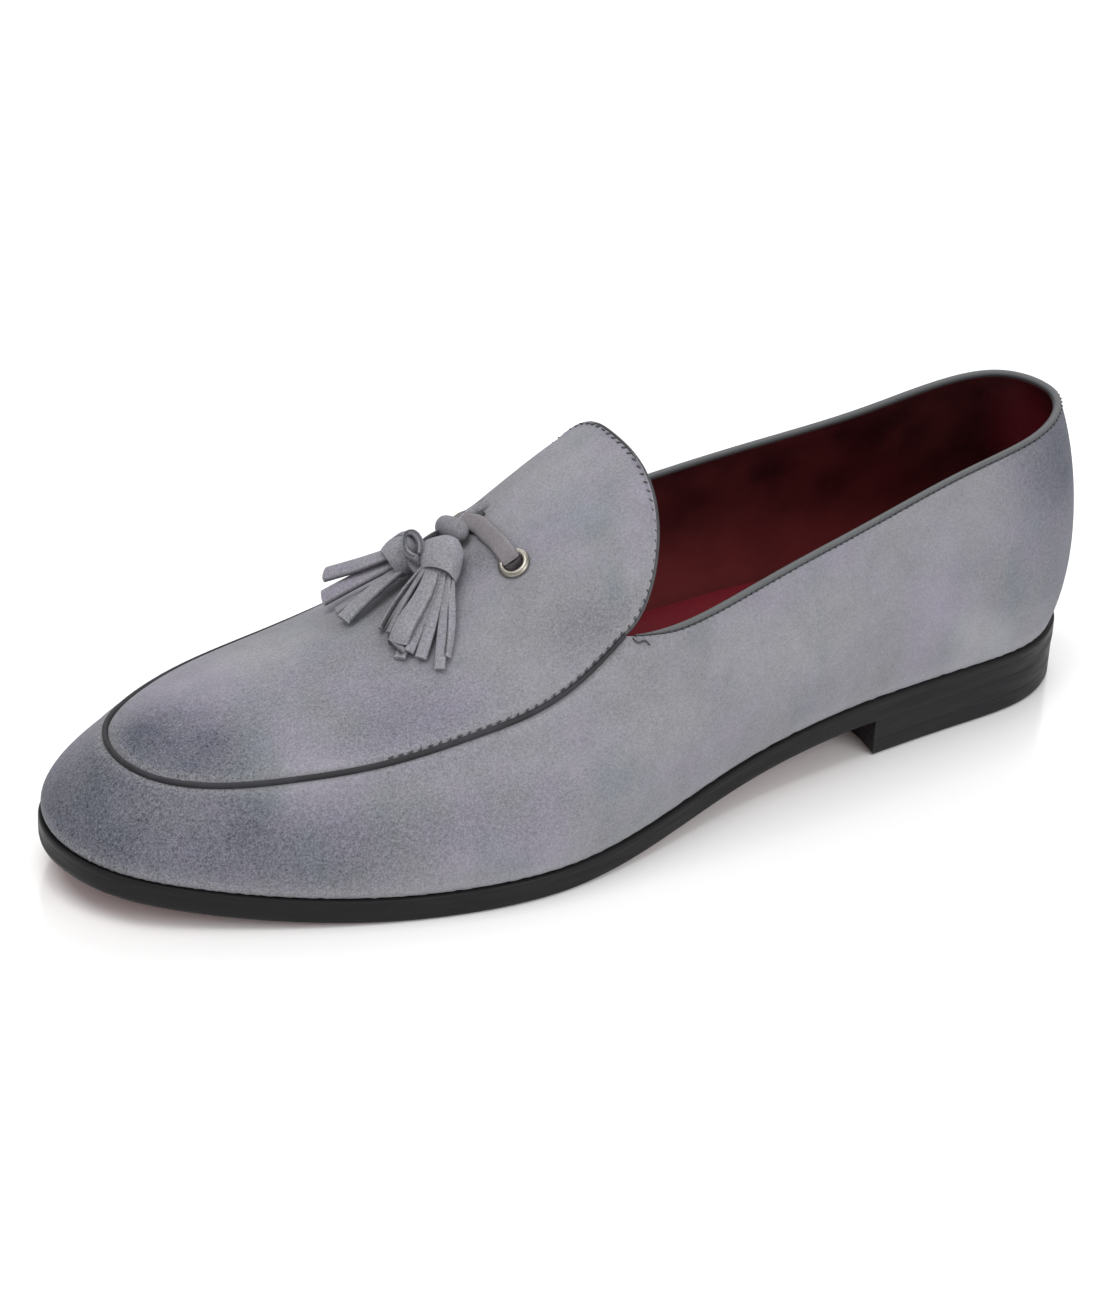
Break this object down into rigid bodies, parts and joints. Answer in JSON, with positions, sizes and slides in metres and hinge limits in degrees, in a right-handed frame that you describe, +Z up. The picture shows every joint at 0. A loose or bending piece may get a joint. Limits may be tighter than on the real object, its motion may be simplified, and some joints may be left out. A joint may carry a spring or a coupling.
{
  "type": "tassel loafer",
  "caption": "Left slip-on shoe in suede with an open collar, a long apron and tongue, a knotted lace through eyelets with tassels, a thin sole and a low stacked heel.",
  "frame": {"origin": "on the floor under the middle of the heel's top piece, at the heel_rest mount", "axes": "+X towards the toe, +Y towards the wearer's left (the outer side of this left shoe), +Z up"},
  "size_m": [0.2962, 0.104, 0.0921],
  "materials": {
    "suede": "napped suede, grey",
    "suede_lace": "napped suede strip, grey",
    "dark_leather": "smooth dark grey leather trim",
    "lining": "glossy burgundy leather",
    "sole_edge": "dyed and waxed leather edge",
    "heel_stack": "dyed stacked leather",
    "nickel": "satin nickel plate"
  },
  "bodies": {
    "root": {"upper": "suede", "apron": "suede", "apron_piping": "dark_leather", "collar_binding": "dark_leather", "insole": "lining", "outsole": "sole_edge", "heel_base": "heel_stack", "heel_top_piece": "heel_stack", "eyelet_outer": "nickel", "eyelet_inner": "nickel", "lace": "suede_lace", "lace_knot": "suede_lace", "tassel_outer": "suede_lace", "tassel_inner": "suede_lace"}
  },
  "joints": []
}
